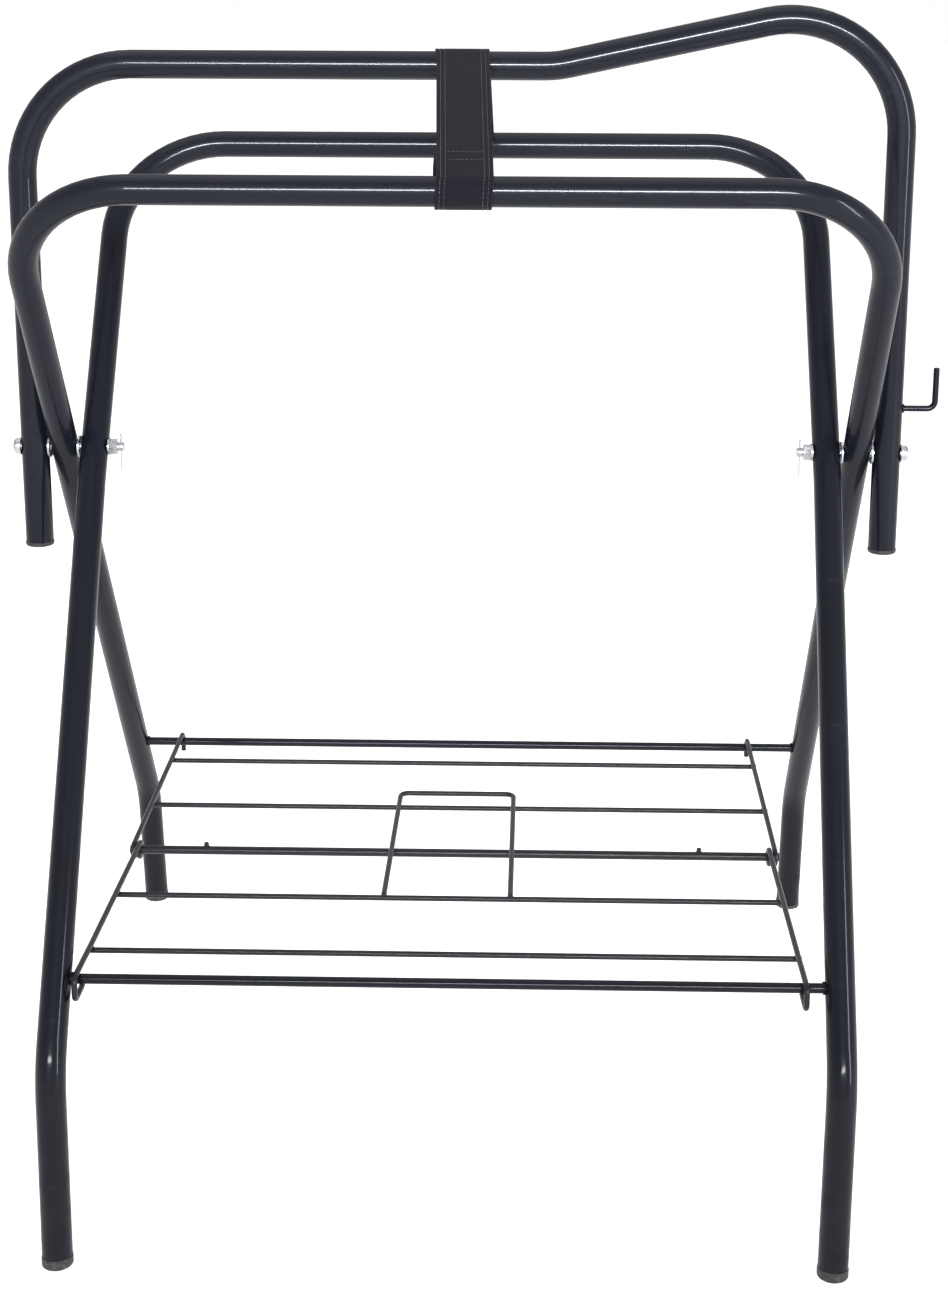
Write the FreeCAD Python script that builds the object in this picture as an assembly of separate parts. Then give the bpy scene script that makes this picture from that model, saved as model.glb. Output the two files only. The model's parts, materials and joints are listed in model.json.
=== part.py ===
"""Folding saddle rack: three bent tube frames on two pivot bolts, a folding wire shelf and a strap.

Millimetres. X runs along the saddle bar, Y from front to back, Z is up. Every piece is drawn with
x = 0 midway between the frames' legs, y = 0 in the plane of the pivot bolts and z = 0 on the floor.
When it is saved it is moved in X and Y, so that the origin is under the middle of the overall box.
"""
import FreeCAD, Part
import math
import os

Vector = FreeCAD.Vector
X_AXIS = Vector(1, 0, 0)
Z_AXIS = Vector(0, 0, 1)
LEFT = -1
RIGHT = 1
FRONT = -1
REAR = 1

# Frame tube
tube_diameter = 25.0
tube_wall = 1.2
frame_bend_radius = 100.0
toe_bend_radius = 400.0

# Stance, open
pivot_height = 610.0
leg_angle = 34.6
foot_angle = 8.7

# Saddle bar frame, upright on the pivots
saddle_half_width = 387.5
saddle_bar_rise = 343.7
pommel_start = 85.0
pommel_angle = 12.0
saddle_leg_tail = 89.0

# Outer leg frame: its top bar is in front and its feet are behind
outer_bar_distance = 306.5
outer_bend_distance = 574.0

# Inner leg frame: its top bar is behind and its feet are in front
inner_bar_distance = 316.0
inner_bend_distance = 549.0
toe_start = 30.0
toe_in_at_bend = 10.6
toe_in_at_foot = 15.6

# Plastic ends
plug_overhang = 0.4
plug_depth = 22.0
foot_cap_lip = 6.0
saddle_plug_lip = 4.0
saddle_plug_round = 1.5

# Pivot bolts
bolt_diameter = 8.0
bolt_running_clearance = 0.05
bolt_head_diameter = 14.0
bolt_head_height = 5.4
bolt_head_round = 3.0
bolt_socket_width = 5.0
bolt_socket_depth = 2.6
bolt_end_beyond_nut = 6.0
bolt_end_chamfer = 0.8
nut_width = 13.0
nut_height = 6.5
nut_chamfer = 0.6
washer_diameter = 16.0
spacer_diameter = 20.0
washer_thickness = 1.6
pivot_side_play = 0.3

# Split pins
pin_wire_diameter = 1.0
pin_hole_inset = 2.8
pin_long_leg = 23.0
pin_short_leg = 19.0
pin_neck = 5.0
pin_eye_width = 4.4
pin_eye_height = 5.0

# Bridle hook
hook_wire_diameter = 5.5
hook_height = 41.5
hook_reach = 29.0
hook_tip_rise = 37.5
hook_bend = 7.0

# Crossbars that carry the shelf
crossbar_diameter = 8.5
crossbar_distance = 474.2

# Wire shelf
shelf_wire_diameter = 5.0
hinge_rod_diameter = 8.0
hinge_rod_beyond_eye = 1.5
shelf_sag = 5.5
shelf_offset = -5.5
shelf_leg_clearance = 1.5
shelf_wire_beyond_side = 1.3
side_wire_gap = 0.4
hinge_eye_clearance = 0.1
crossbar_clearance = 0.35
side_wire_step_start = 20.0
side_wire_step_end = 45.0
side_wire_step_bend = 30.0
front_wire_places = (50.0, 163.0)
rear_wire_places = (56.5, 169.5)
front_hook_reach = 15.0
front_hook_drop = 12.5
front_hook_return = 11.0
front_hook_tip = 4.0
front_hook_bend = 6.0
rear_hook_drop = 13.0

# Handle and stops on the shelf
fittings_shift = -1.5
handle_width = 114.0
handle_reach = 124.0
handle_foot = 3.0
handle_bend = 8.0
handle_rest_clearance = 0.3
stop_spacing = 470.0
stop_diameter = 4.6
stop_height = 4.5
stop_round = 1.8

# Strap
strap_width = 46.0
strap_thickness = 2.0
strap_tube_clearance = 0.3
strap_saddle_offset = 3.5
strap_front_offset = 11.6
strap_loop_turn = 300.0

# Sizes that follow from those above
tube_radius = tube_diameter / 2
tube_bore = tube_radius - tube_wall
plug_radius = tube_radius + plug_overhang
bolt_radius = bolt_diameter / 2
frame_spacing = tube_diameter + washer_thickness + 2 * pivot_side_play
outer_half_width = saddle_half_width - frame_spacing
inner_half_width = outer_half_width - frame_spacing
wire_radius = shelf_wire_diameter / 2
rod_radius = hinge_rod_diameter / 2
crossbar_radius = crossbar_diameter / 2
leg_sine = math.sin(math.radians(leg_angle))
leg_cosine = math.cos(math.radians(leg_angle))
foot_slope = math.tan(math.radians(foot_angle))
crossbar_y = crossbar_distance * leg_sine
crossbar_z = pivot_height - crossbar_distance * leg_cosine
half_length = math.hypot(crossbar_y, shelf_sag)
fittings_offset = shelf_offset + fittings_shift
leg_gap_half_width = inner_half_width - tube_radius - toe_in_at_bend
shelf_side_offset = leg_gap_half_width - abs(shelf_offset) - shelf_leg_clearance
front_side_x = shelf_side_offset - (shelf_wire_diameter + side_wire_gap) / 2
rear_side_x = shelf_side_offset + (shelf_wire_diameter + side_wire_gap) / 2
hook_wire_height = crossbar_radius + crossbar_clearance + wire_radius
strap_inner = tube_radius + strap_tube_clearance
strap_outer = strap_inner + strap_thickness
head_washer_face = saddle_half_width + tube_radius
bolt_head_face = head_washer_face + washer_thickness
bolt_head_end = bolt_head_face + bolt_head_height
nut_washer_face = inner_half_width - tube_radius - pivot_side_play
nut_face = nut_washer_face - washer_thickness
bolt_end = nut_face - nut_height - bolt_end_beyond_nut
hook_end = saddle_half_width + tube_radius + hook_reach


def unit(vector):
    """The same direction at length one."""
    return Vector(vector).normalize()


def disc(centre, direction, radius, bore):
    """A flat disc across the direction, or a ring where it has a bore."""
    face = Part.Face(Part.Wire(Part.makeCircle(radius, centre, direction)))
    if bore > 0:
        face = face.cut(Part.Face(Part.Wire(Part.makeCircle(bore, centre, direction))))
    return face.Faces[0]


def straight(start, end, radius, bore):
    """A round bar or tube from start to end."""
    return disc(start, unit(end - start), radius, bore).extrude(end - start)


def bent(points, bends, radius, bore=0.0):
    """A round bar or tube along straight runs, with an arc of the given radius at each corner."""
    pieces = []
    start = points[0]
    for before, corner, after, bend in zip(points, points[1:], points[2:], bends):
        inward = unit(corner - before)
        outward = unit(after - corner)
        turn = inward.getAngle(outward)
        reach = bend * math.tan(turn / 2)
        arc_start = corner - inward * reach
        if (arc_start - start).Length > 1e-6:
            pieces.append(straight(start, arc_start, radius, bore))
        hinge = unit(inward.cross(outward))
        middle = arc_start + hinge.cross(inward) * bend
        ring = disc(arc_start, inward, radius, bore)
        pieces.append(ring.revolve(middle, hinge, math.degrees(turn)))
        start = corner + outward * reach
    if (points[-1] - start).Length > 1e-6:
        pieces.append(straight(start, points[-1], radius, bore))
    if len(pieces) == 1:
        return pieces[0]
    return pieces[0].multiFuse(pieces[1:]).Solids[0]


def cylinder_x(x_from, x_to, radius, y=0.0, z=pivot_height):
    """A cylinder along X between two places, in either order."""
    low = min(x_from, x_to)
    return Part.makeCylinder(radius, abs(x_to - x_from), Vector(low, y, z), X_AXIS)


def with_pivot_holes(tube, half_width):
    """The tube with a bolt hole through each leg at the pivot."""
    hole_radius = bolt_radius + bolt_running_clearance
    for side in (LEFT, RIGHT):
        leg = side * half_width
        tube = tube.cut(cylinder_x(leg - tube_diameter, leg + tube_diameter, hole_radius))
    return tube.Solids[0]


def both_sides(make):
    """The two separate solids of a piece that is on each side of the rack."""
    return Part.makeCompound([make(LEFT), make(RIGHT)])


# Saddle bar frame

def saddle_bar_points():
    bar_z = pivot_height + saddle_bar_rise
    pommel_z = bar_z + (saddle_half_width - pommel_start) * math.tan(math.radians(pommel_angle))
    tail_z = pivot_height - saddle_leg_tail
    return [
        Vector(-saddle_half_width, 0, tail_z),
        Vector(-saddle_half_width, 0, bar_z),
        Vector(pommel_start, 0, bar_z),
        Vector(saddle_half_width, 0, pommel_z),
        Vector(saddle_half_width, 0, tail_z),
    ]


def saddle_bar_tube():
    tube = bent(saddle_bar_points(), [frame_bend_radius] * 3, tube_radius, tube_bore)
    return with_pivot_holes(tube, saddle_half_width)


def tube_plug(tube_end, outward, lip):
    """A plastic plug: a lip that covers the tube's end and a stem inside it."""
    cover = Part.makeCylinder(plug_radius, lip, tube_end, outward)
    stem = Part.makeCylinder(tube_bore, plug_depth, tube_end - outward * plug_depth, outward)
    return cover, stem


def saddle_plug(side):
    tube_end = Vector(side * saddle_half_width, 0, pivot_height - saddle_leg_tail)
    cover, stem = tube_plug(tube_end, -Z_AXIS, saddle_plug_lip)
    low_edge = min(cover.Edges, key=lambda edge: edge.CenterOfMass.z)
    cover = cover.makeFillet(saddle_plug_round, [low_edge])
    return cover.fuse(stem).Solids[0]


def bridle_hook():
    height = pivot_height + hook_height
    points = [
        Vector(saddle_half_width, 0, height),
        Vector(hook_end, 0, height),
        Vector(hook_end, 0, height + hook_tip_rise),
    ]
    wire = bent(points, [hook_bend], hook_wire_diameter / 2)
    tip_edge = max(wire.Edges, key=lambda edge: edge.CenterOfMass.z)
    wire = wire.makeFillet(hook_wire_diameter / 4, [tip_edge])
    leg = Part.makeCylinder(tube_radius, 2 * hook_height, Vector(saddle_half_width, 0, pivot_height))
    return wire.cut(leg).Solids[0]


# Pivot bolts and what is on them

def pivot_bolt(side):
    head = cylinder_x(side * bolt_head_face, side * bolt_head_end, bolt_head_diameter / 2)
    outer_edge = max(head.Edges, key=lambda edge: edge.CenterOfMass.x * side)
    head = head.makeFillet(bolt_head_round, [outer_edge])
    socket = hexagon(side * (bolt_head_end - bolt_socket_depth), side * bolt_socket_depth,
                     bolt_socket_width)
    shank = cylinder_x(side * bolt_end, side * bolt_head_face, bolt_radius)
    inner_edge = min(shank.Edges, key=lambda edge: edge.CenterOfMass.x * side)
    shank = shank.makeChamfer(bolt_end_chamfer, [inner_edge])
    cross_hole = Part.makeCylinder(pin_wire_diameter, bolt_diameter,
                                   Vector(side * (bolt_end + pin_hole_inset), 0,
                                          pivot_height - bolt_radius))
    return head.cut(socket).fuse(shank.cut(cross_hole)).Solids[0]


def hexagon(x_start, x_length, width):
    """A hexagonal prism along X on the pivot's axis."""
    corner = width / math.sqrt(3)
    corners = []
    for step in range(7):
        turn = math.radians(60 * step)
        corners.append(Vector(x_start, corner * math.cos(turn), pivot_height + corner * math.sin(turn)))
    return Part.Face(Part.makePolygon(corners)).extrude(Vector(x_length, 0, 0))


def pivot_nut(side):
    nut = hexagon(side * nut_face, -side * nut_height, nut_width)
    bevel = cylinder_x(side * nut_face, side * (nut_face - nut_height), nut_width / math.sqrt(3))
    ends = [edge for edge in bevel.Edges if edge.Closed]
    nut = nut.common(bevel.makeChamfer(nut_chamfer, ends))
    return nut.cut(cylinder_x(side * nut_face, side * (nut_face - nut_height), bolt_radius)).Solids[0]


def washer(x_face, x_thickness, diameter):
    """A flat washer on a pivot bolt."""
    ring = cylinder_x(x_face, x_face + x_thickness, diameter / 2)
    return ring.cut(cylinder_x(x_face, x_face + x_thickness, bolt_radius))


def head_washer(side):
    return washer(side * head_washer_face, side * washer_thickness, washer_diameter)


def nut_washer(side):
    return washer(side * nut_washer_face, -side * washer_thickness, washer_diameter)


def outer_spacer(side):
    face = saddle_half_width - tube_radius - pivot_side_play
    return washer(side * face, -side * washer_thickness, spacer_diameter)


def inner_spacer(side):
    face = outer_half_width - tube_radius - pivot_side_play
    return washer(side * face, -side * washer_thickness, spacer_diameter)


def split_pin(side):
    leg = pin_wire_diameter / 2
    eye = pin_eye_width / 2
    eye_bottom = pin_neck + eye - leg
    outline = [
        (-leg, -pin_long_leg),
        (-leg, pin_neck),
        (-eye, eye_bottom),
        (-eye, eye_bottom + pin_eye_height),
        (eye, eye_bottom + pin_eye_height),
        (eye, eye_bottom),
        (leg, pin_neck),
        (leg, -pin_short_leg),
    ]
    x = side * (bolt_end + pin_hole_inset)
    points = [Vector(x, y, pivot_height + z) for y, z in outline]
    soft = pin_wire_diameter
    return bent(points, [soft, soft, eye, eye, soft, soft], leg)


# Leg frames

def leg_point(bar_side, x, above_pivot):
    """A place on a leg frame's slanted plane, at a distance along the legs from the pivot."""
    y = bar_side * leg_sine * above_pivot
    return Vector(x, y, pivot_height + leg_cosine * above_pivot)


def foot_point(bar_side, bend_point, x):
    """Where the leg's centreline meets the floor."""
    return Vector(x, bend_point.y - bar_side * bend_point.z * foot_slope, 0)


def outer_leg_side(side):
    """Points down one outer leg from its top corner, then where it meets the floor."""
    x = side * outer_half_width
    corner = leg_point(FRONT, x, outer_bar_distance)
    bend_point = leg_point(FRONT, x, -outer_bend_distance)
    return [corner, bend_point, foot_point(FRONT, bend_point, x)]


def inner_leg_side(side):
    """Points down one inner leg, which toes in below the pivot."""
    x = side * inner_half_width
    corner = leg_point(REAR, x, inner_bar_distance)
    toe_point = leg_point(REAR, x, -toe_start)
    bend_point = leg_point(REAR, x - side * toe_in_at_bend, -inner_bend_distance)
    return [corner, toe_point, bend_point, foot_point(REAR, bend_point, x - side * toe_in_at_foot)]


def leg_frame_points(make_side, lip):
    """The whole path from foot to foot, ending where the foot caps' lips begin."""
    sides = []
    for side in (LEFT, RIGHT):
        points = make_side(side)
        upward = unit(points[-2] - points[-1])
        points[-1] = points[-1] + upward * lip
        sides.append(points)
    return sides[0][::-1] + sides[1]


def outer_leg_path():
    return leg_frame_points(outer_leg_side, foot_cap_lip), [frame_bend_radius] * 4


def inner_leg_path():
    bends = [frame_bend_radius, toe_bend_radius, frame_bend_radius]
    return leg_frame_points(inner_leg_side, foot_cap_lip), bends + bends[::-1]


def outer_leg_tube():
    return with_pivot_holes(bent(*outer_leg_path(), tube_radius, tube_bore), outer_half_width)


def inner_leg_tube():
    return with_pivot_holes(bent(*inner_leg_path(), tube_radius, tube_bore), inner_half_width)


def foot_cap(leg_side_points):
    """A foot's plastic cap, cut flat where it stands on the floor."""
    floor_point = leg_side_points[-1]
    downward = unit(floor_point - leg_side_points[-2])
    cover, stem = tube_plug(floor_point - downward * foot_cap_lip, downward, 2 * foot_cap_lip)
    ground = Part.makeBox(4 * tube_diameter, 4 * tube_diameter, tube_diameter,
                          floor_point - Vector(2 * tube_diameter, 2 * tube_diameter, tube_diameter))
    return cover.fuse(stem).cut(ground).Solids[0]


def crossbar(frame_side, half_width, leg_path):
    """A rod between a frame's two legs, with its ends shaped to the tubes."""
    rod = cylinder_x(-half_width, half_width, crossbar_radius, frame_side * crossbar_y, crossbar_z)
    rod = rod.cut(bent(*leg_path, tube_radius))
    return max(rod.Solids, key=lambda solid: solid.Volume)


# Wire shelf: two halves that share a hinge rod in the middle

def shelf_point(half, x, along, above):
    """A place on one half: along from its crossbar towards the hinge rod, and above their line."""
    y = half * crossbar_y - half * (crossbar_y * along + shelf_sag * above) / half_length
    z = crossbar_z + (crossbar_y * above - shelf_sag * along) / half_length
    return Vector(x, y, z)


def side_wire(half, x, hook, hook_bends, eye_radius):
    """A side wire from the hook on its crossbar to an eye round the hinge rod."""
    outline = hook + [
        (side_wire_step_start, hook_wire_height),
        (side_wire_step_end, eye_radius),
        (half_length + eye_radius, eye_radius),
        (half_length + eye_radius, -eye_radius),
        (half_length - eye_radius, -eye_radius),
        (half_length - eye_radius, 0),
    ]
    bends = hook_bends + [side_wire_step_bend] * 2 + [eye_radius] * 3
    points = [shelf_point(half, x, along, above) for along, above in outline]
    return bent(points, bends, wire_radius)


def front_eye_radius():
    return rod_radius + wire_radius


def rear_eye_radius():
    return rod_radius + hinge_eye_clearance + wire_radius


def front_side_wire(side):
    """It goes over the front crossbar and back under it in a long hook."""
    hook = [
        (front_hook_return + front_hook_tip, front_hook_tip - front_hook_drop),
        (front_hook_return, -front_hook_drop),
        (-front_hook_reach, -front_hook_drop),
        (-front_hook_reach, hook_wire_height),
    ]
    x = shelf_offset + side * front_side_x
    return side_wire(FRONT, x, hook, [front_hook_bend] * 3, front_eye_radius())


def rear_side_wire(side):
    """It goes over the rear crossbar and down behind it, open below."""
    hook = [
        (-hook_wire_height, -rear_hook_drop),
        (-hook_wire_height, hook_wire_height),
    ]
    x = shelf_offset + side * rear_side_x
    return side_wire(REAR, x, hook, [hook_wire_height], rear_eye_radius())


def long_wire(half, side_x, eye_radius, place):
    """A wire across the shelf, welded under both side wires of its half."""
    middle = shelf_point(half, 0, place, eye_radius - shelf_wire_diameter)
    end = side_x + wire_radius + shelf_wire_beyond_side
    return cylinder_x(shelf_offset - end, shelf_offset + end, wire_radius, middle.y, middle.z)


def front_long_wire(place):
    return long_wire(FRONT, front_side_x, front_eye_radius(), place)


def rear_long_wire(place):
    return long_wire(REAR, rear_side_x, rear_eye_radius(), place)


def hinge_rod():
    end = rear_side_x + wire_radius + hinge_rod_beyond_eye
    return cylinder_x(shelf_offset - end, shelf_offset + end, rod_radius, 0, crossbar_z - shelf_sag)


def hinge_rod_stop(side):
    """A short peg standing on the hinge rod."""
    x = fittings_offset + side * stop_spacing / 2
    rod_z = crossbar_z - shelf_sag
    peg = Part.makeCylinder(stop_diameter / 2, rod_radius + stop_height, Vector(x, 0, rod_z))
    top_edge = max(peg.Edges, key=lambda edge: edge.CenterOfMass.z)
    peg = peg.makeFillet(stop_round, [top_edge])
    return peg.cut(cylinder_x(x - stop_diameter, x + stop_diameter, rod_radius, 0, rod_z)).Solids[0]


def shelf_handle():
    """A wire handle welded on the front half's inner wire, which lies over the rear half's."""
    front = shelf_point(FRONT, 0, front_wire_places[1], front_eye_radius())
    rear = shelf_point(REAR, 0, rear_wire_places[1], rear_eye_radius() + handle_rest_clearance)
    slope = (rear.z - front.z) / (rear.y - front.y)

    def place(x, y):
        return Vector(x, y, front.z + slope * (y - front.y))

    left = fittings_offset - handle_width / 2
    right = fittings_offset + handle_width / 2
    foot_y = front.y - handle_foot
    points = [
        place(left, foot_y),
        place(left, handle_reach),
        place(right, handle_reach),
        place(right, foot_y),
    ]
    return bent(points, [handle_bend] * 2, wire_radius)


# Strap: over the saddle bar and round both leg frames' top bars

def strap_bars(bar_side):
    """The saddle bar's and a leg frame's bar's centres, and the strap's outward direction."""
    distance = {FRONT: outer_bar_distance, REAR: inner_bar_distance}[bar_side]
    saddle = Vector(0, 0, pivot_height + saddle_bar_rise)
    bar = leg_point(bar_side, 0, distance)
    outward = unit(X_AXIS.cross(bar - saddle) * bar_side)
    return saddle, bar, outward


def strap_x(bar_side):
    return strap_front_offset if bar_side == FRONT else strap_saddle_offset


def strap_arc(bar, outward, x_middle, turn):
    """A band round a bar, from the outward direction through a turn about X."""
    corners = []
    for x, radius in ((-1, strap_inner), (1, strap_inner), (1, strap_outer), (-1, strap_outer)):
        corners.append(bar + outward * radius + X_AXIS * (x_middle + x * strap_width / 2))
    return Part.Face(Part.makePolygon(corners + corners[:1])).revolve(bar, X_AXIS, turn)


def strap_loop(bar_side):
    """The loop sewn round a leg frame's top bar."""
    _, bar, outward = strap_bars(bar_side)
    return strap_arc(bar, outward, strap_x(bar_side), -bar_side * strap_loop_turn)


def strap_span(bar_side):
    """The flat stretch between the saddle bar and a leg frame's top bar."""
    saddle, bar, outward = strap_bars(bar_side)
    corners = []
    for centre, x, side in ((saddle, strap_saddle_offset, LEFT), (saddle, strap_saddle_offset, RIGHT),
                            (bar, strap_x(bar_side), RIGHT), (bar, strap_x(bar_side), LEFT)):
        corners.append(centre + outward * strap_inner + X_AXIS * (x + side * strap_width / 2))
    return Part.Face(Part.makePolygon(corners + corners[:1])).extrude(outward * strap_thickness)


def strap_saddle_wrap():
    """The stretch over the top of the saddle bar, between the two flat stretches."""
    saddle, _, rear_outward = strap_bars(REAR)
    front_outward = strap_bars(FRONT)[2]
    turn = math.degrees(rear_outward.getAngle(front_outward))
    return strap_arc(saddle, rear_outward, strap_saddle_offset, turn)


nodes = {
    "saddle_bar_tube": saddle_bar_tube(),
    "saddle_plug_left": saddle_plug(LEFT),
    "saddle_plug_right": saddle_plug(RIGHT),
    "bridle_hook": bridle_hook(),
    "pivot_bolts": both_sides(pivot_bolt),
    "pivot_nuts": both_sides(pivot_nut),
    "head_washers": both_sides(head_washer),
    "nut_washers": both_sides(nut_washer),
    "outer_spacer_washers": both_sides(outer_spacer),
    "inner_spacer_washers": both_sides(inner_spacer),
    "split_pins": both_sides(split_pin),
    "outer_leg_tube": outer_leg_tube(),
    "rear_foot_cap_left": foot_cap(outer_leg_side(LEFT)),
    "rear_foot_cap_right": foot_cap(outer_leg_side(RIGHT)),
    "rear_crossbar": crossbar(REAR, outer_half_width, outer_leg_path()),
    "inner_leg_tube": inner_leg_tube(),
    "front_foot_cap_left": foot_cap(inner_leg_side(LEFT)),
    "front_foot_cap_right": foot_cap(inner_leg_side(RIGHT)),
    "front_crossbar": crossbar(FRONT, inner_half_width, inner_leg_path()),
    "front_side_wire_left": front_side_wire(LEFT),
    "front_side_wire_right": front_side_wire(RIGHT),
    "front_outer_wire": front_long_wire(front_wire_places[0]),
    "front_inner_wire": front_long_wire(front_wire_places[1]),
    "shelf_hinge_rod": hinge_rod(),
    "hinge_rod_stops": both_sides(hinge_rod_stop),
    "shelf_handle": shelf_handle(),
    "rear_side_wire_left": rear_side_wire(LEFT),
    "rear_side_wire_right": rear_side_wire(RIGHT),
    "rear_outer_wire": rear_long_wire(rear_wire_places[0]),
    "rear_inner_wire": rear_long_wire(rear_wire_places[1]),
    "strap_saddle_wrap": strap_saddle_wrap(),
    "strap_front_span": strap_span(FRONT),
    "strap_rear_span": strap_span(REAR),
    "strap_front_loop": strap_loop(FRONT),
    "strap_rear_loop": strap_loop(REAR),
}

# The overall box ends at the hook and a bolt head in X, and at the rear and front foot caps in Y
cap_half_depth = plug_radius / math.cos(math.radians(foot_angle))
rear_foot_y = outer_leg_side(RIGHT)[-1].y + cap_half_depth
front_foot_y = inner_leg_side(RIGHT)[-1].y - cap_half_depth
hook_outer_x = hook_end + hook_wire_diameter / 2
origin = Vector((hook_outer_x - bolt_head_end) / 2, (rear_foot_y + front_foot_y) / 2, 0)

os.makedirs("parts", exist_ok=True)
for name, shape in nodes.items():
    moved = shape.copy()
    moved.translate(-origin)
    moved.exportStep(f"parts/{name}.step")
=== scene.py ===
"""Looks of the folding saddle rack: its finishes, welds, bolt threads and sewn strap, light and camera.

Metres, in the CAD model's frame: X runs along the saddle bar, Y from front to back, Z is up.
"""
import bpy
import json
import math
from mathutils import Matrix, Vector, noise


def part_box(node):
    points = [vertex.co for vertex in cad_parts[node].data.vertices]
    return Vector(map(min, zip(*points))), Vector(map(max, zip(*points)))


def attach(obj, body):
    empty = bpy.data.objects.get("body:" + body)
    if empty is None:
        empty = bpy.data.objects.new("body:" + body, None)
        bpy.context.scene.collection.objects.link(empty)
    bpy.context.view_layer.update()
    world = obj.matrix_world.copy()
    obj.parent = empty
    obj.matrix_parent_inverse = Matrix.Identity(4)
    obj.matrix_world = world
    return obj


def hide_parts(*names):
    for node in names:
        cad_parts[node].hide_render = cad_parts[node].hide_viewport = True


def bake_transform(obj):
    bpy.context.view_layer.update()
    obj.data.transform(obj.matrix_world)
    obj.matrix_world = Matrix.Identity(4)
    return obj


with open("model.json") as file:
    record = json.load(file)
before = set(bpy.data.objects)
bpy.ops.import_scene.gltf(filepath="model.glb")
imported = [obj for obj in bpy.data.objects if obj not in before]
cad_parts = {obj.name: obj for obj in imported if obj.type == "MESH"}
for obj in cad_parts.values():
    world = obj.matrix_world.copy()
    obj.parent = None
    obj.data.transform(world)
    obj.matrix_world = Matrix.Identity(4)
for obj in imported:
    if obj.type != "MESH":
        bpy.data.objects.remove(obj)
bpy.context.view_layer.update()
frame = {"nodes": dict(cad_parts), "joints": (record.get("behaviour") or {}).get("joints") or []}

MM = 0.001
LEFT = -1
RIGHT = 1
FRONT = -1
REAR = 1
SIDE_NAMES = {LEFT: "left", RIGHT: "right"}

# Camera
CAMERA_PLACE = Vector((0.0579, -1.8225, 1.0336))
CAMERA_YAW = math.radians(-1.076)
CAMERA_PITCH = math.radians(13.229)
CAMERA_ROLL = math.radians(0.235)
CAMERA_LENS = 57.21
CAMERA_SHIFT_X = -0.01938
CAMERA_SHIFT_Y = -0.14833

# Strap webbing and its stitches
STRAP_THICKNESS = 2.0 * MM
CLOTH_THICKNESS = STRAP_THICKNESS * 0.9
STRAP_LAP_TURN = math.radians(280)
STRAP_LAP_LENGTH = 17 * MM
STRAP_LAP_GAP = 0.1 * MM
STRAP_LAP_DRIFT = -3.4 * MM
STRAP_FLARE = 1.6 * MM
STRAP_FLARE_LENGTH = 9 * MM
STRAP_CELL_ACROSS = 1.0 * MM
STRAP_CELL_ALONG = 1.5 * MM
STITCH_ROWS = (3.6 * MM, 7.4 * MM)
STITCH_PITCH = 3.6 * MM
STITCH_LENGTH = 2.9 * MM
STITCH_RADIUS = 0.32 * MM
STITCH_CUTS = (-0.32, -0.12, 0.12, 0.32)
STITCH_TAPER = 0.4
STITCH_SINK = 1.5 * STITCH_RADIUS
STITCH_PROUD = 0.1 * MM
STITCH_PUCKER = 0.32 * MM
STITCH_PUCKER_WIDTH = 1.3 * MM
LAP_STITCH_ROWS = (24 * MM, 36 * MM)
EDGE_WAVE = 0.35 * MM
EDGE_WAVE_WIDTH = 2.5 * MM
EDGE_WAVES_PER_METRE = 55
CLOTH_EDGE_ROUND = 0.55 * MM

# Where along the strap a turn from the saddle frame's motion to a leg frame's would start and end:
# strap_half works these places out, and nothing uses them
STRAP_BLEND_SHARE = 0.12
STRAP_BLEND_END = 2 * MM

# Welds: how thick a bead is, how far it stands off its bar and how far in from the bar's end
BAR_BEAD = 1.05 * MM
BAR_BEAD_GAP = 0.2 * MM
BAR_BEAD_INSET = 1.1 * MM
HOOK_BEAD = 1.1 * MM
HOOK_BEAD_GAP = 0.3 * MM
HOOK_BEAD_INSET = 0.9 * MM
WIRE_BEAD = 2.0 * MM
WIRE_BEAD_SPREAD = (1.25, 1.25, 0.8)
WIRE_BEAD_LUMPS = 0.16
WIRE_BEAD_TURN = 1.3
PEG_BEAD = 0.7 * MM
PEG_BEAD_GAP = 0.2 * MM
BEAD_RIPPLES = 17
BEAD_RIPPLE_DEPTH = 0.13
BEAD_LUMP_DEPTH = 0.22

# Bolt threads
THREAD_PITCH = 1.25 * MM
THREAD_DEPTH = 0.36 * MM
THREAD_SUNK = 0.3
THREAD_STEPS = 28
BOLT_RADIUS = 4.0 * MM
BOLT_CHAMFER = 0.8 * MM

# Studio
FLOOR_WIDTH = 60


# Materials

class Socket:
    """One output of a finish's node. Python's operators add Math nodes to it."""

    def __init__(self, finish, output):
        self.finish = finish
        self.output = output

    def math(self, operation, first, second=0.0):
        settings = {"operation": operation}
        return self.finish.node("ShaderNodeMath", settings, {0: first, 1: second})

    def __add__(self, other):
        return self.math("ADD", self, other)

    def __radd__(self, other):
        return self.math("ADD", other, self)

    def __sub__(self, other):
        return self.math("SUBTRACT", self, other)

    def __rsub__(self, other):
        return self.math("SUBTRACT", other, self)

    def __mul__(self, other):
        return self.math("MULTIPLY", self, other)

    def __rmul__(self, other):
        return self.math("MULTIPLY", other, self)

    def __truediv__(self, other):
        return self.math("DIVIDE", self, other)

    def __mod__(self, other):
        return self.math("FLOORED_MODULO", self, other)

    def __abs__(self):
        return self.math("ABSOLUTE", self)

    def floor(self):
        return self.math("FLOOR", self)

    def sine(self):
        return self.math("SINE", self)

    def rise(self, low, high):
        """0 below low, 1 above high and smooth between, or the other way where low is above high."""
        return self.finish.node(
            "ShaderNodeMapRange",
            {"interpolation_type": "SMOOTHSTEP"},
            {"Value": self, "From Min": low, "From Max": high},
        )


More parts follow.
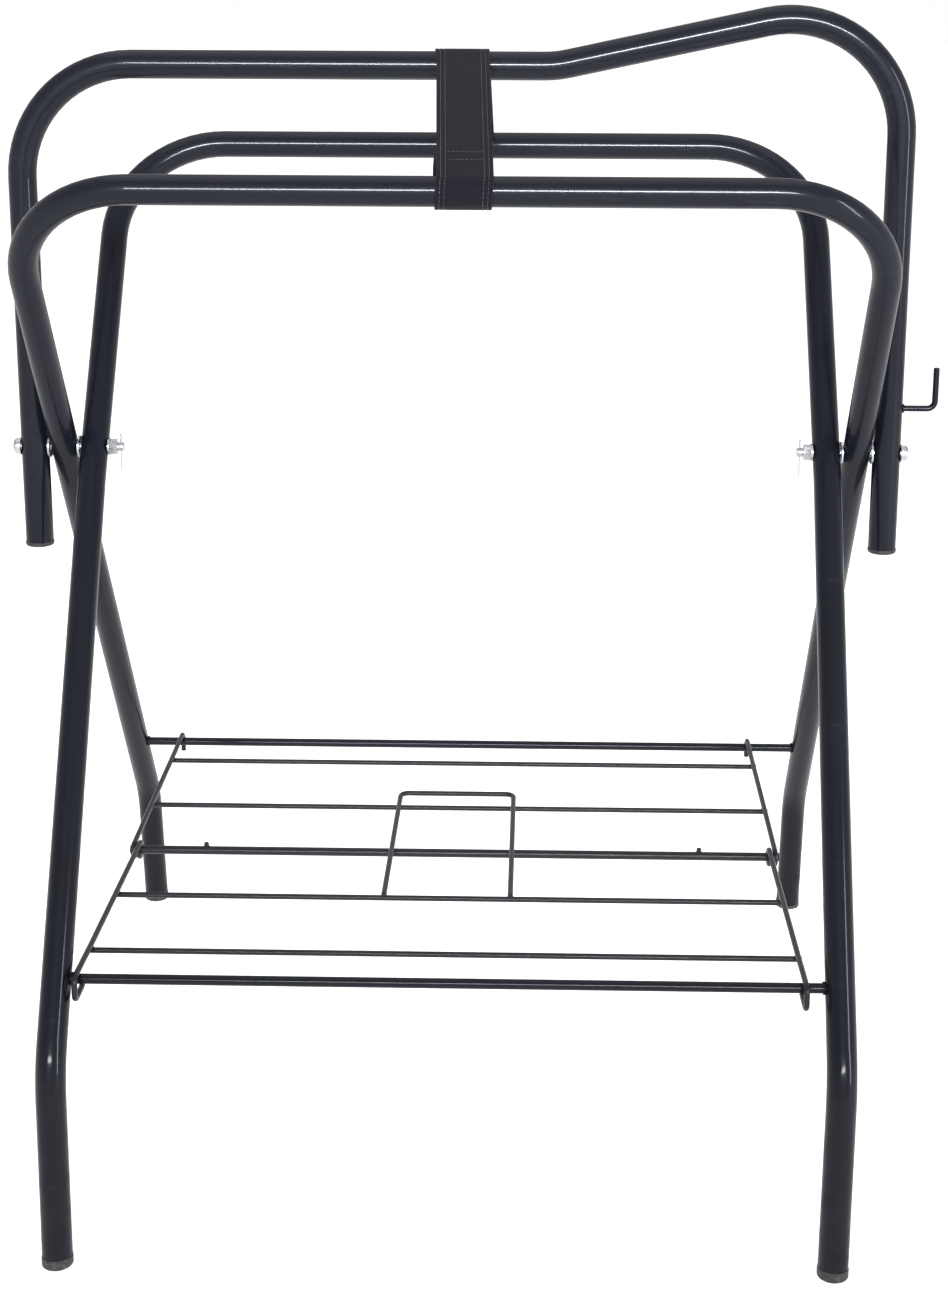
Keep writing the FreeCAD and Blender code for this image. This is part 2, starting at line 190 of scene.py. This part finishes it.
class Finish:
    """A material on a Principled shader, and the nodes that feed it."""

    def __init__(self, name):
        self.material = bpy.data.materials.new(name)
        self.material.use_nodes = True
        self.tree = self.material.node_tree
        self.shader = self.tree.nodes["Principled BSDF"]

    def feed(self, inlet, value):
        if isinstance(value, Socket):
            self.tree.links.new(value.output, inlet)
        else:
            inlet.default_value = value

    def node(self, kind, settings, inputs, output=0):
        made = self.tree.nodes.new(kind)
        for name, setting in settings.items():
            setattr(made, name, setting)
        for key, value in inputs.items():
            self.feed(made.inputs[key], value)
        return Socket(self, made.outputs[output])

    def shade(self, **values):
        for name, value in values.items():
            self.feed(self.shader.inputs[name.replace("_", " ")], value)

    def place(self, stretch=(1, 1, 1)):
        """Object coordinates, stretched along each axis."""
        object_place = self.node("ShaderNodeTexCoord", {}, {}, "Object")
        return self.node("ShaderNodeVectorMath", {"operation": "MULTIPLY"}, {0: object_place, 1: stretch})

    def cloth_place(self):
        """The piece's own UV map, which is in metres across and along the cloth."""
        return self.node("ShaderNodeTexCoord", {}, {}, "UV")

    def parts(self, vector):
        """The three numbers of a vector."""
        split = self.tree.nodes.new("ShaderNodeSeparateXYZ")
        self.feed(split.inputs[0], vector)
        return [Socket(self, output) for output in split.outputs]

    def grain(self, place, scale, detail=3.0, roughness=0.55):
        """Soft noise from 0 to 1."""
        inputs = {"Vector": place, "Scale": scale, "Detail": detail, "Roughness": roughness}
        return self.node("ShaderNodeTexNoise", {}, inputs, "Fac")

    def blend_colours(self, share, first, second):
        return self.node(
            "ShaderNodeMix",
            {"data_type": "RGBA"},
            {0: share, 6: (*first, 1.0) if isinstance(first, tuple) else first,
             7: (*second, 1.0) if isinstance(second, tuple) else second},
            2,
        )

    def bump(self, height, distance, strength=1.0, under=None):
        """A normal from a height between 0 and 1 that stands for a distance in metres."""
        inputs = {"Height": height, "Distance": distance, "Strength": strength}
        if under is not None:
            inputs["Normal"] = under
        return self.node("ShaderNodeBump", {}, inputs)


def powder_coat():
    """Glossy blue-black powder coat: fine orange peel, faint scuffs and dust towards the floor."""
    finish = Finish("rack_powder_coat")
    place = finish.place()
    height = finish.parts(place)[2]
    clouds = finish.grain(place, 9.0)
    rubs = finish.grain(finish.place((14, 160, 160)), 1.0, 4.0, 0.7).rise(0.60, 0.74)
    specks = finish.grain(place, 900.0, 2.0).rise(0.70, 0.80)
    low_dust = height.rise(0.22, 0.0) * finish.grain(place, 60.0, 5.0, 0.7).rise(0.42, 0.72)
    coat = finish.blend_colours(clouds, (0.0038, 0.0042, 0.0074), (0.0064, 0.0069, 0.0112))
    rubbed = finish.blend_colours(rubs * 0.30, coat, (0.026, 0.027, 0.033))
    dusty = finish.blend_colours(low_dust * 0.08 + specks * 0.05, rubbed, (0.060, 0.057, 0.052))
    peel = finish.bump(finish.grain(place, 420.0, 1.0), 0.05 * MM)
    finish.shade(
        Base_Color=dusty,
        Roughness=0.30 + clouds * 0.10 + rubs * 0.12 + low_dust * 0.30,
        Normal=finish.bump(rubs, 0.02 * MM, 1.0, peel),
        Coat_Weight=0.28 - low_dust * 0.2,
        Coat_Roughness=0.10,
        Specular_IOR_Level=0.075,
        Specular_Tint=(0.84, 0.88, 1.0, 1.0),
    )
    return finish.material


def wire_coat():
    """Satin black coat on wire, thin on the tops where saddles and boots rub it."""
    finish = Finish("rack_wire_coat")
    place = finish.place()
    clouds = finish.grain(place, 25.0, 4.0)
    worn = finish.grain(finish.place((60, 300, 300)), 1.0, 4.0, 0.75).rise(0.63, 0.74)
    coat = finish.blend_colours(clouds, (0.004, 0.004, 0.006), (0.011, 0.011, 0.014))
    finish.shade(
        Base_Color=finish.blend_colours(worn * 0.4, coat, (0.10, 0.10, 0.105)),
        Roughness=0.36 + clouds * 0.12 + worn * 0.1,
        Normal=finish.bump(finish.grain(place, 800.0, 2.0), 0.03 * MM),
        Coat_Weight=0.2,
        Coat_Roughness=0.2,
        Specular_IOR_Level=0.22,
    )
    return finish.material


def bright_zinc():
    """Zinc plate on the bolts, nuts, washers and split pins, with a faint cast and dull patches."""
    finish = Finish("pivot_bright_zinc")
    place = finish.place()
    patches = finish.grain(place, 260.0, 4.0, 0.6)
    dull = finish.grain(place, 90.0, 3.0).rise(0.45, 0.65)
    turned = finish.grain(finish.place((3000, 120, 120)), 1.0, 2.0)
    plate = finish.blend_colours(patches, (0.44, 0.45, 0.47), (0.58, 0.58, 0.58))
    finish.shade(
        Base_Color=finish.blend_colours(dull * 0.5, plate, (0.40, 0.41, 0.42)),
        Metallic=1.0,
        Roughness=0.22 + patches * 0.14 + dull * 0.14,
        Normal=finish.bump(turned, 0.02 * MM, 0.6),
    )
    return finish.material


def moulded_plastic():
    """Black moulded plastic with a fine texture, scuffed grey where it stands on the floor."""
    finish = Finish("cap_moulded_plastic")
    place = finish.place()
    height = finish.parts(place)[2]
    clouds = finish.grain(place, 70.0, 4.0)
    scuffs = height.rise(0.016, 0.0) * finish.grain(place, 380.0, 5.0, 0.8).rise(0.45, 0.68)
    mould = finish.blend_colours(clouds, (0.010, 0.010, 0.011), (0.020, 0.020, 0.022))
    finish.shade(
        Base_Color=finish.blend_colours(scuffs * 0.55, mould, (0.16, 0.155, 0.15)),
        Roughness=0.48 + clouds * 0.14 + scuffs * 0.2,
        Normal=finish.bump(finish.grain(place, 1900.0, 2.0), 0.06 * MM, 0.8),
    )
    return finish.material


def strap_webbing():
    """Black woven webbing: ribs along the strap, crossed by the weft, with painted shade in the weave's
    hollows, fuzz and a smooth selvedge.
    """
    finish = Finish("strap_black_webbing")
    across, along = finish.parts(finish.cloth_place())[:2]
    rib_width = 1.15 * MM
    weft_pitch = 1.7 * MM
    rib = across / rib_width
    stagger = (rib.floor() % 2.0) * 0.5
    rib_round = abs((rib * math.pi).sine())
    weft_round = abs(((along / weft_pitch + stagger) * math.pi).sine())
    weave = rib_round * 0.55 + rib_round * weft_round * 0.45
    place = finish.place()
    clouds = finish.grain(place, 45.0, 4.0)
    fuzz = finish.grain(place, 2600.0, 3.0, 0.7)
    # Painted shade: the colour follows the weave's height, darkest in the hollows between the ribs and
    # lighter on their crowns.
    yarn_with_painted_shade = finish.blend_colours(weave, (0.0012, 0.0012, 0.0021), (0.0055, 0.0055, 0.0100))
    # Random faded patches laid over the yarn colour, which still holds the weave's painted shade.
    faded_with_painted_shade = finish.blend_colours(clouds * 0.4, yarn_with_painted_shade, (0.0070, 0.0070, 0.0115))
    woven = finish.bump(weave, 0.32 * MM)
    finish.shade(
        Base_Color=finish.blend_colours(fuzz.rise(0.55, 0.80) * 0.30, faded_with_painted_shade, (0.017, 0.017, 0.023)),
        Roughness=0.72 + clouds * 0.14 - weave * 0.06,
        Normal=finish.bump(fuzz, 0.05 * MM, 0.7, woven),
        Sheen_Weight=0.03,
        Sheen_Roughness=0.5,
        Specular_IOR_Level=0.11,
    )
    return finish.material


def sewing_thread():
    """Twisted black nylon thread, a little shinier than the webbing."""
    finish = Finish("strap_sewing_thread")
    place = finish.place((1, 2.2, 2.2))
    twist = finish.grain(place, 1500.0, 2.0)
    finish.shade(
        Base_Color=finish.blend_colours(twist, (0.012, 0.012, 0.017), (0.036, 0.036, 0.044)),
        Roughness=0.42 + twist * 0.2,
        Normal=finish.bump(twist, 0.06 * MM),
    )
    return finish.material


def studio_floor():
    finish = Finish("studio_floor")
    clouds = finish.grain(finish.place(), 1.2)
    finish.shade(
        Base_Color=finish.blend_colours(clouds, (0.86, 0.86, 0.865), (0.885, 0.885, 0.89)),
        Roughness=0.85,
        Specular_IOR_Level=0.2,
        Emission_Color=(1.0, 1.0, 1.0, 1.0),
        Emission_Strength=0.60,
    )
    return finish.material


def studio_world():
    """A white sweep round the horizon that falls off to a dimmer ceiling."""
    world = bpy.data.worlds.new("studio_world")
    world.use_nodes = True
    tree = world.node_tree
    place = tree.nodes.new("ShaderNodeTexCoord")
    split = tree.nodes.new("ShaderNodeSeparateXYZ")
    ramp = tree.nodes.new("ShaderNodeMapRange")
    ramp.inputs["From Min"].default_value = 0.06
    ramp.inputs["From Max"].default_value = 0.50
    ramp.inputs["To Min"].default_value = 1.02
    ramp.inputs["To Max"].default_value = 0.62
    background = tree.nodes["Background"]
    background.inputs["Color"].default_value = (0.97, 0.98, 1.0, 1.0)
    tree.links.new(place.outputs["Generated"], split.inputs[0])
    tree.links.new(split.outputs["Z"], ramp.inputs["Value"])
    tree.links.new(ramp.outputs["Result"], background.inputs["Strength"])
    return world


# Modelling

def deselect_all():
    bpy.ops.object.select_all(action="DESELECT")


def select_only(piece):
    deselect_all()
    piece.select_set(True)
    bpy.context.view_layer.objects.active = piece


def named(name):
    """The object that an operator has just added, under a name of its own."""
    piece = bpy.context.object
    piece.name = name
    piece.data.name = name
    return piece


def settle(piece):
    """Puts the piece's place in its mesh and leaves its object at the origin."""
    select_only(piece)
    bpy.ops.object.transform_apply(location=True, rotation=True, scale=True)


def close_and_face_out(piece):
    """Merges doubled points and turns every face outwards."""
    select_only(piece)
    bpy.ops.object.mode_set(mode="EDIT")
    bpy.ops.mesh.select_all(action="SELECT")
    bpy.ops.mesh.remove_doubles(threshold=0.001 * MM)
    bpy.ops.mesh.normals_make_consistent(inside=False)
    bpy.ops.object.mode_set(mode="OBJECT")


def smooth(piece, degrees=40):
    select_only(piece)
    bpy.ops.object.shade_smooth_by_angle(angle=math.radians(degrees))


def dress(piece, material):
    piece.data.materials.clear()
    piece.data.materials.append(material)


def copy_of(piece, name, matrix):
    """A copy with a mesh of its own, moved within that mesh."""
    copy = piece.copy()
    copy.data = piece.data.copy()
    copy.name = name
    copy.data.name = name
    copy.data.transform(matrix)
    bpy.context.scene.collection.objects.link(copy)
    return copy


def join(pieces, name):
    deselect_all()
    for piece in pieces:
        piece.select_set(True)
    bpy.context.view_layer.objects.active = pieces[0]
    bpy.ops.object.join()
    return named(name)


def discard(piece):
    bpy.data.objects.remove(piece)


def middle(node):
    low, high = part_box(node)
    return (low + high) / 2


def frame_tube_radius():
    low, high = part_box("saddle_bar_tube")
    return (high.y - low.y) / 2


def pivot_place():
    """The middle of the pivot bolts' axis."""
    return Vector(frame["joints"][0]["pos_m"])


# Welds

def bead_ring(name, centre, ring_radius, bead_radius, tube_radius, lean, axis):
    """A weld bead round a bar where it meets a tube. Lean is the tube's angle from upright.

    Axis is the direction along the bar, away from the tube.
    """
    bpy.ops.mesh.primitive_torus_add(major_segments=56, minor_segments=12,
                                     major_radius=ring_radius, minor_radius=bead_radius)
    piece = named(name)
    own_lumps = centre * 90
    for point in piece.data.vertices:
        turn = math.atan2(point.co.y, point.co.x)
        core = Vector((math.cos(turn), math.sin(turn), 0)) * ring_radius
        lump = noise.noise(core / bead_radius + own_lumps)
        ripple = 1 + BEAD_RIPPLE_DEPTH * math.sin(BEAD_RIPPLES * turn) + BEAD_LUMP_DEPTH * lump
        point.co = core + (point.co - core) * ripple
        off_axis = core.y * math.cos(lean) - core.x * math.sin(lean)
        point.co.z += tube_radius - math.sqrt(tube_radius ** 2 - off_axis ** 2)
    turned = Vector((0, 0, 1)).rotation_difference(axis).to_matrix().to_4x4()
    piece.data.transform(Matrix.Translation(centre) @ turned)
    smooth(piece, 60)
    return piece


def crossbar_welds(node, body, frame_side, material):
    """The bead at each end of a crossbar, on its frame's slanted legs."""
    low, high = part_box(node)
    bar_radius = (high.z - low.z) / 2
    away = middle(node) - pivot_place()
    lean = math.atan2(abs(away.y), abs(away.z)) * frame_side
    for side in (LEFT, RIGHT):
        end = high.x if side == RIGHT else low.x
        centre = Vector((end - side * BAR_BEAD_INSET, middle(node).y, middle(node).z))
        inward = Vector((-side, 0, 0))
        piece = bead_ring(f"{node}_weld_{SIDE_NAMES[side]}", centre, bar_radius + BAR_BEAD_GAP,
                          BAR_BEAD, frame_tube_radius(), lean * side, inward)
        dress(piece, material)
        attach(piece, body)


def hook_weld(material):
    low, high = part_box("bridle_hook")
    wire_radius = (high.y - low.y) / 2
    centre = Vector((low.x + HOOK_BEAD_INSET, middle("bridle_hook").y, low.z + wire_radius))
    piece = bead_ring("bridle_hook_weld", centre, wire_radius + HOOK_BEAD_GAP, HOOK_BEAD,
                      frame_tube_radius(), 0.0, Vector((-1, 0, 0)))
    dress(piece, material)
    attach(piece, "saddle_frame")


def wire_weld_model():
    """A flattened lump of weld, a little longer than it is wide, modelled once."""
    bpy.ops.mesh.primitive_ico_sphere_add(subdivisions=4, radius=WIRE_BEAD)
    piece = named("wire_weld_model")
    bpy.ops.object.mode_set(mode="EDIT")
    bpy.ops.mesh.select_all(action="SELECT")
    bpy.ops.transform.resize(value=WIRE_BEAD_SPREAD)
    bpy.ops.object.mode_set(mode="OBJECT")
    for point in piece.data.vertices:
        point.co *= 1 + WIRE_BEAD_LUMPS * noise.noise(point.co / WIRE_BEAD * 1.7)
    smooth(piece, 60)
    return piece


def wire_welds(material):
    """Lumps where the shelf's wires cross, at the handle's feet and at the front half's eyes."""
    model = wire_weld_model()
    places = []
    for half in ("front", "rear"):
        for row in ("outer", "inner"):
            wire_low, wire_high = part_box(f"{half}_{row}_wire")
            wire = (wire_low + wire_high) / 2
            for side in ("left", "right"):
                x = middle(f"{half}_side_wire_{side}").x
                places.append((f"{half}_{row}_wire_weld_{side}", f"{half}_shelf",
                               Vector((x, wire.y, wire_high.z))))
    low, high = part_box("shelf_handle")
    inner_low, inner_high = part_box("front_inner_wire")
    wire_radius = (inner_high.z - inner_low.z) / 2
    for side, x in (("left", low.x + wire_radius), ("right", high.x - wire_radius)):
        place = Vector((x, middle("front_inner_wire").y, inner_high.z))
        places.append((f"handle_weld_{side}", "front_shelf", place))
    rod_front_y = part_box("shelf_hinge_rod")[0].y
    for side in ("left", "right"):
        x = middle(f"front_side_wire_{side}").x
        place = Vector((x, rod_front_y, middle("shelf_hinge_rod").z))
        places.append((f"hinge_eye_weld_{side}", "front_shelf", place))
    for step, (name, body, place) in enumerate(places):
        turned = Matrix.Rotation(step * WIRE_BEAD_TURN, 4, "Z")
        piece = copy_of(model, name, Matrix.Translation(place) @ turned)
        dress(piece, material)
        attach(piece, body)
    discard(model)


def peg_welds(material):
    """The bead round the foot of each peg on the hinge rod."""
    low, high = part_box("hinge_rod_stops")
    rod_low, rod_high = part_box("shelf_hinge_rod")
    rod_radius = (rod_high.z - rod_low.z) / 2
    peg_radius = (high.y - low.y) / 2
    for side, x in ((LEFT, low.x + peg_radius), (RIGHT, high.x - peg_radius)):
        centre = Vector((x, middle("shelf_hinge_rod").y, rod_high.z - PEG_BEAD_GAP))
        piece = bead_ring(f"peg_weld_{SIDE_NAMES[side]}", centre, peg_radius + PEG_BEAD_GAP, PEG_BEAD,
                          rod_radius, math.pi / 2, Vector((0, 0, -1)))
        dress(piece, material)
        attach(piece, "front_shelf")


# Bolt threads

def inner_reach(node):
    """How near the node's solids come to the rack's middle, in X."""
    middle_x = pivot_place().x
    return min(abs(point.co.x - middle_x) for point in frame["nodes"][node].data.vertices)


def bolt_threads(material):
    """The ridge that is wound round each pivot bolt's end, beyond its nut."""
    pivot = pivot_place()
    bolt_end = inner_reach("pivot_bolts") + BOLT_CHAMFER
    nut_end = inner_reach("pivot_nuts")
    deselect_all()
    bpy.ops.mesh.primitive_circle_add(vertices=3, radius=THREAD_DEPTH, fill_type="NOTHING",
                                      location=(0, BOLT_RADIUS - THREAD_DEPTH * THREAD_SUNK, 0))
    model = named("thread_model")
    settle(model)
    winding = model.modifiers.new("winding", "SCREW")
    winding.axis = "X"
    winding.steps = THREAD_STEPS
    winding.render_steps = THREAD_STEPS
    winding.screw_offset = THREAD_PITCH
    winding.iterations = int((nut_end - bolt_end) / THREAD_PITCH)
    bpy.ops.object.modifier_apply(modifier="winding")
    bpy.ops.object.mode_set(mode="EDIT")
    bpy.ops.mesh.select_all(action="SELECT")
    bpy.ops.mesh.fill_holes(sides=3)
    bpy.ops.object.mode_set(mode="OBJECT")
    close_and_face_out(model)
    smooth(model, 35)
    for side, start in ((LEFT, -nut_end), (RIGHT, bolt_end)):
        place = pivot + Vector((start, 0, 0))
        piece = copy_of(model, f"bolt_thread_{SIDE_NAMES[side]}", Matrix.Translation(place))
        dress(piece, material)
        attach(piece, "saddle_frame")
    discard(model)


# Strap

class StrapHalf:
    """Half of the strap: from the top of the saddle bar, down to a leg frame's bar, round it and back.

    Along is the distance in metres from the top of the saddle bar and across is the distance from
    the strap's middle line, both measured on the webbing as it was cut.
    """

    def __init__(self, bar_side, loop_node):
        saddle_low, saddle_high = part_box("strap_saddle_wrap")
        loop_low, loop_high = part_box(loop_node)
        tube_low, tube_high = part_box("saddle_bar_tube")
        loop_radius = (loop_high.y - loop_low.y) / 2
        self.bar_side = bar_side
        self.width = saddle_high.x - saddle_low.x
        self.radius = loop_radius - STRAP_THICKNESS / 2
        self.saddle_x = (saddle_low.x + saddle_high.x) / 2
        self.bar_x = (loop_low.x + loop_high.x) / 2
        self.saddle = Vector((0, (tube_low.y + tube_high.y) / 2, saddle_high.z - loop_radius))
        self.bar = Vector((0, (loop_low.y + loop_high.y) / 2, loop_low.z + loop_radius))
        self.down = (self.bar - self.saddle).normalized()
        self.out = Vector((1, 0, 0)).cross(self.down) * bar_side
        self.wrap_turn = self.out.angle(Vector((0, 0, 1)))
        self.wrap = self.wrap_turn * self.radius
        self.span = (self.bar - self.saddle).length
        self.loop = STRAP_LAP_TURN * self.radius
        past = STRAP_LAP_TURN - math.pi
        self.lap_drop = STRAP_THICKNESS + STRAP_LAP_GAP
        self.lap_radius = ((self.radius - self.lap_drop + self.radius * math.cos(past))
                           / (1 - math.cos(past)))
        self.lap_bend = past * self.lap_radius
        self.loop_start = self.wrap + self.span
        self.bend_start = self.loop_start + self.loop
        self.lap_start = self.bend_start + self.lap_bend
        self.length = self.lap_start + STRAP_LAP_LENGTH

    def turned(self, angle):
        """The outward direction after a turn about the bar, away from the saddle bar first."""
        return self.out * math.cos(angle) + self.down * math.sin(angle)

    def line(self, along):
        """The place and the outward direction on the strap's middle line, in the YZ plane."""
        if along < self.wrap:
            outward = self.turned(along / self.radius - self.wrap_turn)
            return self.saddle + outward * self.radius, outward
        if along < self.loop_start:
            return self.saddle + self.out * self.radius + self.down * (along - self.wrap), self.out
        if along < self.bend_start:
            outward = self.turned((along - self.loop_start) / self.radius)
            return self.bar + outward * self.radius, outward
        leaving = self.turned(STRAP_LAP_TURN)
        hub = self.bar + leaving * (self.radius + self.lap_radius)
        if along < self.lap_start:
            inward = self.turned(STRAP_LAP_TURN - (along - self.bend_start) / self.lap_radius)
            return hub - inward * self.lap_radius, inward
        start = hub + self.out * self.lap_radius
        return start - self.down * (along - self.lap_start), -self.out

    def sideways(self, along):
        """Where the middle line is in X: it slants on the flat stretch and drifts in the lap."""
        share = min(max((along - self.wrap) / self.span, 0), 1)
        lap_share = min(max((along - self.loop_start) / self.loop, 0), 1)
        return self.saddle_x + (self.bar_x - self.saddle_x) * share + STRAP_LAP_DRIFT * lap_share

    def place(self, along, across, above=0.0):
        point, outward = self.line(along)
        spot = point + outward * above
        spot.x = self.sideways(along) + across
        return spot


def pucker(half, along, across):
    """How far the webbing's surface is pulled in by its stitches and waves at its edges."""
    from_edge = half.width / 2 - abs(across)
    pulled = sum(math.exp(-((from_edge - row) / STITCH_PUCKER_WIDTH) ** 2) for row in STITCH_ROWS)
    beat = 0.65 + 0.35 * math.cos(2 * math.pi * along / STITCH_PITCH)
    edge = math.exp(-from_edge / EDGE_WAVE_WIDTH)
    own_wave = (math.copysign(7, across), half.bar_side * 3)
    wave = noise.noise(Vector((along * EDGE_WAVES_PER_METRE, *own_wave)))
    return -STITCH_PUCKER * pulled * beat + EDGE_WAVE * edge * wave


def strap_cloth(half, name, material):
    """The webbing, laid from a flat grid of its cut size onto its line and given its thickness."""
    columns = round(half.width / STRAP_CELL_ACROSS)
    rows = round(half.length / STRAP_CELL_ALONG)
    deselect_all()
    bpy.ops.mesh.primitive_grid_add(x_subdivisions=columns, y_subdivisions=rows, size=1)
    piece = named(name)
    for corner in piece.data.uv_layers.active.data:
        corner.uv = (corner.uv.x * half.width, corner.uv.y * half.length)
    for point in piece.data.vertices:
        across = point.co.x * half.width
        along = (point.co.y + 0.5) * half.length
        near_top = max(1 - along / STRAP_FLARE_LENGTH, 0)
        flare = STRAP_FLARE * near_top * max(-across / half.width, 0) * 2
        point.co = half.place(along, across - flare, pucker(half, along, across))
    close_and_face_out(piece)
    thicken = piece.modifiers.new("thickness", "SOLIDIFY")
    thicken.thickness = CLOTH_THICKNESS
    thicken.offset = 0
    edges = piece.modifiers.new("rounded edges", "BEVEL")
    edges.width = CLOTH_EDGE_ROUND
    edges.segments = 2
    edges.limit_method = "ANGLE"
    edges.angle_limit = math.radians(60)
    for modifier in ("thickness", "rounded edges"):
        bpy.ops.object.modifier_apply(modifier=modifier)
    smooth(piece, 50)
    dress(piece, material)
    return piece


def stitch_model():
    """One stitch lying along Y, sunk at both ends, modelled once."""
    deselect_all()
    bpy.ops.mesh.primitive_cylinder_add(vertices=6, radius=STITCH_RADIUS, depth=STITCH_LENGTH,
                                        rotation=(math.pi / 2, 0, 0))
    piece = named("stitch_model")
    settle(piece)
    bpy.ops.object.mode_set(mode="EDIT")
    for cut in STITCH_CUTS:
        bpy.ops.mesh.select_all(action="SELECT")
        bpy.ops.mesh.bisect(plane_co=(0, cut * STITCH_LENGTH, 0), plane_no=(0, 1, 0))
    bpy.ops.object.mode_set(mode="OBJECT")
    for point in piece.data.vertices:
        share = point.co.y / (STITCH_LENGTH / 2)
        point.co.z = point.co.z * (1 - STITCH_TAPER * share ** 4) - STITCH_SINK * share ** 4
        point.co.x *= 1 - STITCH_TAPER * share ** 4
    smooth(piece, 60)
    return piece


def stitch_matrix(half, along, across, turned=0.0):
    """Where a stitch lies on the strap's outer face, and its turn on it."""
    step = 0.5 * MM
    lift = CLOTH_THICKNESS / 2 + STITCH_PROUD + pucker(half, along, across)
    ahead = half.place(along + step, across) - half.place(along - step, across)
    outward = half.line(along)[1]
    spot = half.place(along, across, lift)
    heading = ahead.normalized()
    sideways = heading.cross(outward).normalized()
    turn = Matrix((sideways, heading, outward)).transposed().to_4x4()
    return Matrix.Translation(spot) @ turn @ Matrix.Rotation(turned, 4, "Z")


def strap_stitches(half, name, material):
    """Two rows of stitches along each edge, and two rows across where the lap is sewn on."""
    model = stitch_model()
    stitches = []
    count = int(half.length / STITCH_PITCH)
    for side in (LEFT, RIGHT):
        for row in STITCH_ROWS:
            for step in range(count):
                along = (step + 0.5) * STITCH_PITCH
                across = side * (half.width / 2 - row)
                matrix = stitch_matrix(half, along, across)
                stitches.append(copy_of(model, "stitch", matrix))
    inner = half.width / 2 - STITCH_ROWS[-1]
    cross_count = int(2 * inner / STITCH_PITCH)
    for from_bar in LAP_STITCH_ROWS:
        for step in range(cross_count):
            across = (step + 0.5 - cross_count / 2) * STITCH_PITCH
            matrix = stitch_matrix(half, half.loop_start - from_bar, across, math.pi / 2)
            stitches.append(copy_of(model, "stitch", matrix))
    discard(model)
    piece = join(stitches, name)
    dress(piece, material)
    return piece


def strap_half(bar_side, half_name, loop_node, replaced, webbing, thread):
    half = StrapHalf(bar_side, loop_node)
    cloth = strap_cloth(half, f"strap_{half_name}", webbing)
    stitches = strap_stitches(half, f"strap_{half_name}_stitching", thread)
    start = half.place(half.wrap + STRAP_BLEND_SHARE * half.span, 0)
    end = half.place(half.loop_start - STRAP_BLEND_END, 0)
    start.x = end.x
    for piece in (cloth, stitches):
        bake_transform(piece)
    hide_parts(*replaced)


# Finishes on the CAD pieces

def finish_cad_pieces(finishes):
    """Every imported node's finish, by what the node's name says it is."""
    kinds = (
        ("tube", "coat"),
        ("crossbar", "coat"),
        ("bridle_hook", "coat"),
        ("wire", "wire"),
        ("shelf", "wire"),
        ("hinge", "wire"),
        ("plug", "plastic"),
        ("cap", "plastic"),
        ("pivot", "zinc"),
        ("washer", "zinc"),
        ("pin", "zinc"),
    )
    for name, node in frame["nodes"].items():
        for word, kind in kinds:
            if word in name:
                node.data.materials.clear()
                node.data.materials.append(finishes[kind])
                break


# Stage

def stage_and_lights():
    deselect_all()
    bpy.ops.mesh.primitive_plane_add(size=FLOOR_WIDTH)
    floor = named("studio_floor")
    floor.data.materials.append(studio_floor())

    def soft_light(name, place, aim, size, power, colour=(1, 1, 1), spread=180):
        data = bpy.data.lights.new(name, "AREA")
        data.shape = "RECTANGLE"
        data.size, data.size_y = size
        data.energy = power
        data.color = colour
        data.spread = math.radians(spread)
        light = bpy.data.objects.new(name, data)
        light.location = place
        light.rotation_euler = (Vector(aim) - Vector(place)).to_track_quat("-Z", "Y").to_euler()
        bpy.context.scene.collection.objects.link(light)

    soft_light("front_soft_light", (0.2, -3.6, 1.75), (0, 0, 1.3), (2.6, 0.34), 34,
               (0.95, 0.97, 1.0), spread=50)
    soft_light("overhead_soft_light", (0, 0.4, 3.6), (0, 0, 0), (3.0, 3.0), 24)
    soft_light("right_soft_light", (2.9, -1.9, 1.2), (0, 0, 0.6), (0.30, 1.8), 44, (0.95, 0.97, 1.0))
    bpy.context.scene.world = studio_world()
    bpy.context.scene.view_settings.view_transform = "Standard"


def camera():
    forward = Vector((math.sin(CAMERA_YAW) * math.cos(CAMERA_PITCH),
                      math.cos(CAMERA_YAW) * math.cos(CAMERA_PITCH),
                      -math.sin(CAMERA_PITCH)))
    level_right = Vector((math.cos(CAMERA_YAW), -math.sin(CAMERA_YAW), 0))
    level_up = level_right.cross(forward)
    right = level_right * math.cos(CAMERA_ROLL) + level_up * math.sin(CAMERA_ROLL)
    up = level_up * math.cos(CAMERA_ROLL) - level_right * math.sin(CAMERA_ROLL)
    data = bpy.data.cameras.new("camera")
    data.lens = CAMERA_LENS
    data.shift_x = CAMERA_SHIFT_X
    data.shift_y = CAMERA_SHIFT_Y
    made = bpy.data.objects.new("camera", data)
    turn = Matrix((right, up, -forward)).transposed().to_4x4()
    made.matrix_world = Matrix.Translation(CAMERA_PLACE) @ turn
    bpy.context.scene.collection.objects.link(made)
    bpy.context.scene.camera = made


finishes = {
    "coat": powder_coat(),
    "wire": wire_coat(),
    "zinc": bright_zinc(),
    "plastic": moulded_plastic(),
}
deselect_all()
finish_cad_pieces(finishes)
crossbar_welds("rear_crossbar", "outer_legs", REAR, finishes["coat"])
crossbar_welds("front_crossbar", "inner_legs", FRONT, finishes["coat"])
hook_weld(finishes["coat"])
wire_welds(finishes["wire"])
peg_welds(finishes["wire"])
bolt_threads(finishes["zinc"])
webbing = strap_webbing()
thread = sewing_thread()
strap_half(FRONT, "front", "strap_front_loop",
           ["strap_front_span", "strap_front_loop"], webbing, thread)
strap_half(REAR, "rear", "strap_rear_loop",
           ["strap_rear_span", "strap_rear_loop", "strap_saddle_wrap"], webbing, thread)
stage_and_lights()
camera()
